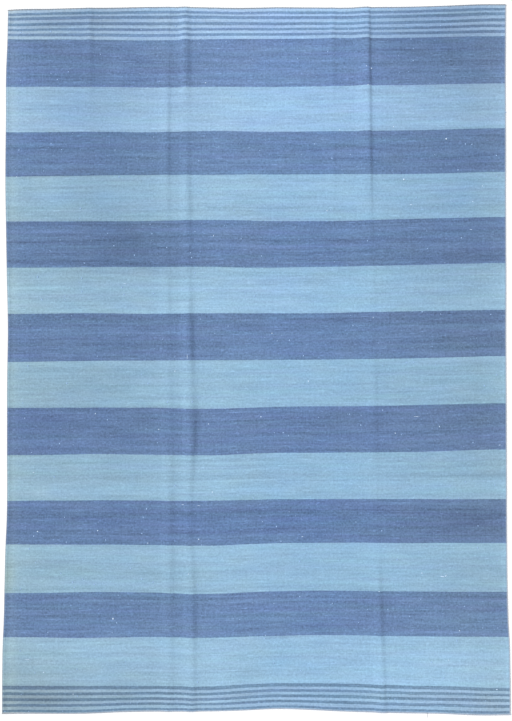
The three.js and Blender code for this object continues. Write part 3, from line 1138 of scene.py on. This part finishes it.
middle_ring = sheet["place"][rings[1 + RIM_ANGLES.index(0)]]
END_ROWS = {
    "far_stitches": (0, plain_yarn("unbleached_sewing_yarn", "#8e98a5")),
    "near_stitches": (rows - 1, plain_yarn("pale_sewing_yarn", "#a9b2c4")),
}
stitches = []
for name, (row, yarn) in END_ROWS.items():
    line = middle_ring[loop[:, 0] == row]
    line = line[np.argsort(line[:, 0] * (1 if row else -1))]  # so that "inward" is on its left
    values = {"Spacing": STITCH_SPACING * MM, "Thickness": STITCH_THICKNESS * MM, "Yarn": yarn}
    stitches.append(grow(name, line_mesh(name + "_edge", line), stitch_tree, stitch_inputs, values))

# %% [markdown]
# ## A loose thread
#
# One end of sewing yarn has come out of the near edge and lies on the floor. It is a
# line of six points, smoothed into a curve and made round.

# %% The thread's line, in millimetres
THREAD = table(
    "across along height",
    (1436, 2386, 3.8),
    (1436.5, 2391, 4.4),
    (1436, 2394.5, 1.6),
    (1437, 2398, 0.5),
    (1436, 2403, 0.5),
    (1437, 2408, 0.5),
)
THREAD_THICKNESS = 0.9
THREAD_POINTS = 24
thread_tree, thread_inputs, inside = new_tree("thread_on_a_line", {"Thickness": "Float", "Yarn": "Material"})
bent = add(thread_tree, "GeometryNodeMeshToCurve", {0: inside[0]}).outputs[0]
bent = add(thread_tree, "GeometryNodeCurveSplineType", {0: bent}, spline_type="CATMULL_ROM").outputs[0]
bent = {0: bent, "Count": THREAD_POINTS}
bent = add(thread_tree, "GeometryNodeResampleCurve", bent, mode="COUNT").outputs[0]
end_tree(thread_tree, round_yarn(thread_tree, bent, inside["Thickness"]), inside["Yarn"])
thread_mesh = line_mesh("thread_line", on_floor(THREAD["across"], THREAD["along"], THREAD["height"]))
thread_yarn = plain_yarn("faded_sewing_yarn", "#8f969c")
thread_values = {"Thickness": THREAD_THICKNESS * MM, "Yarn": thread_yarn}
thread = grow("loose_thread", thread_mesh, thread_tree, thread_inputs, thread_values)

# %% [markdown]
# ## Floor, light and camera
#
# The rug is seen from straight above, as for a catalogue, on a white floor. A white dome
# gives even light, and a soft sun low on the left models the ridges: flanks that face it
# are lighter and the others darker. The camera's place comes from how large the rug is
# in the picture. A nearer camera with a wider lens would show more of the ridges'
# height, and this one is near enough for the stripes to step over the ridges a little.

# %% Stage
PICTURE = (512, 721)  # pixels
RUG_IN_PICTURE = {"left": 2.0, "right": 510.3, "top": 4.2, "bottom": 715.6}  # pixels
LENS = 35  # millimetres, as the sensor
SENSOR = 36
pixel = (high.x - low.x) / (RUG_IN_PICTURE["right"] - RUG_IN_PICTURE["left"])
middle_across = (RUG_IN_PICTURE["left"] + RUG_IN_PICTURE["right"]) / 2
middle_down = (RUG_IN_PICTURE["top"] + RUG_IN_PICTURE["bottom"]) / 2
distance = PICTURE[1] * pixel / 2 / (SENSOR / 2 / LENS)
camera_data = bpy.data.cameras.new("camera")
camera_data.lens = LENS
camera_data.sensor_width = SENSOR
camera = new_object("camera", camera_data)
camera.location = (
    (low.x + high.x) / 2 + (PICTURE[0] / 2 - middle_across) * pixel,
    (low.y + high.y) / 2 - (PICTURE[1] / 2 - middle_down) * pixel,
    CLOTH_THICKNESS * MM + distance,
)
bpy.context.scene.camera = camera
print("the camera hangs", round(distance, 3), "m above the cloth, one pixel is", round(pixel / MM, 3), "mm")

FLOOR_MOTTLE = 0.985  # the darkest places of the paint
floor_material, tree = new_material("white_painted_floor")
floor_noise = add(tree, "ShaderNodeTexNoise", {"Scale": 3.0, "Detail": 2.0}).outputs["Fac"]
floor_value = add(tree, "ShaderNodeMapRange", {0: floor_noise, 3: FLOOR_MOTTLE, 4: 1.0}).outputs[0]
floor_paint = {"Value": floor_value, "Color": linear("#fbfbfb")}
floor_colour = add(tree, "ShaderNodeHueSaturation", floor_paint).outputs[0]
floor_shader = add(tree, "ShaderNodeBsdfPrincipled", {"Base Color": floor_colour, "Roughness": 0.9})
add(tree, "ShaderNodeOutputMaterial", {"Surface": floor_shader.outputs[0]})
FLOOR_HALF = 300  # metres, so that the floor ends far off
corners = [(-1, -1), (1, -1), (1, 1), (-1, 1)]
floor_mesh = bpy.data.meshes.new("floor")
floor_mesh.from_pydata([(x * FLOOR_HALF, y * FLOOR_HALF, 0) for x, y in corners], [], [(0, 1, 2, 3)])
floor_mesh.materials.append(floor_material)
floor = new_object("floor", floor_mesh)

DOME_STRENGTH = 0.65
world = bpy.data.worlds.new("white_dome")
world.use_nodes = True
world.node_tree.nodes.clear()
dome = {"Color": linear("#fcfdff"), "Strength": DOME_STRENGTH}
dome = add(world.node_tree, "ShaderNodeBackground", dome)
add(world.node_tree, "ShaderNodeOutputWorld", {"Surface": dome.outputs[0]})
bpy.context.scene.world = world

SUN_HEIGHT = 45  # degrees above the floor
SUN_TURN = 12  # degrees from the left side towards the far end
SUN_SIZE = 30  # degrees across, which makes it soft
SUN_STRENGTH = 2.34
sun_data = bpy.data.lights.new("soft_sun", "SUN")
sun_data.energy = SUN_STRENGTH
sun_data.angle = math.radians(SUN_SIZE)
sun = new_object("soft_sun", sun_data)
sun.rotation_euler = (0, math.radians(SUN_HEIGHT - 90), math.radians(-SUN_TURN))
bpy.context.scene.view_settings.view_transform = "Standard"

# %% [markdown]
# ## The pieces and the rug's body
#
# Each piece is tied to the imported rug's one body. The cloth stands for the imported solid, which is hidden.

# %% Tie the pieces to the rug
pieces = [cloth, neps, slubs, *stitches, thread]
for piece in pieces:
    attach(piece, "root")
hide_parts("kilim")
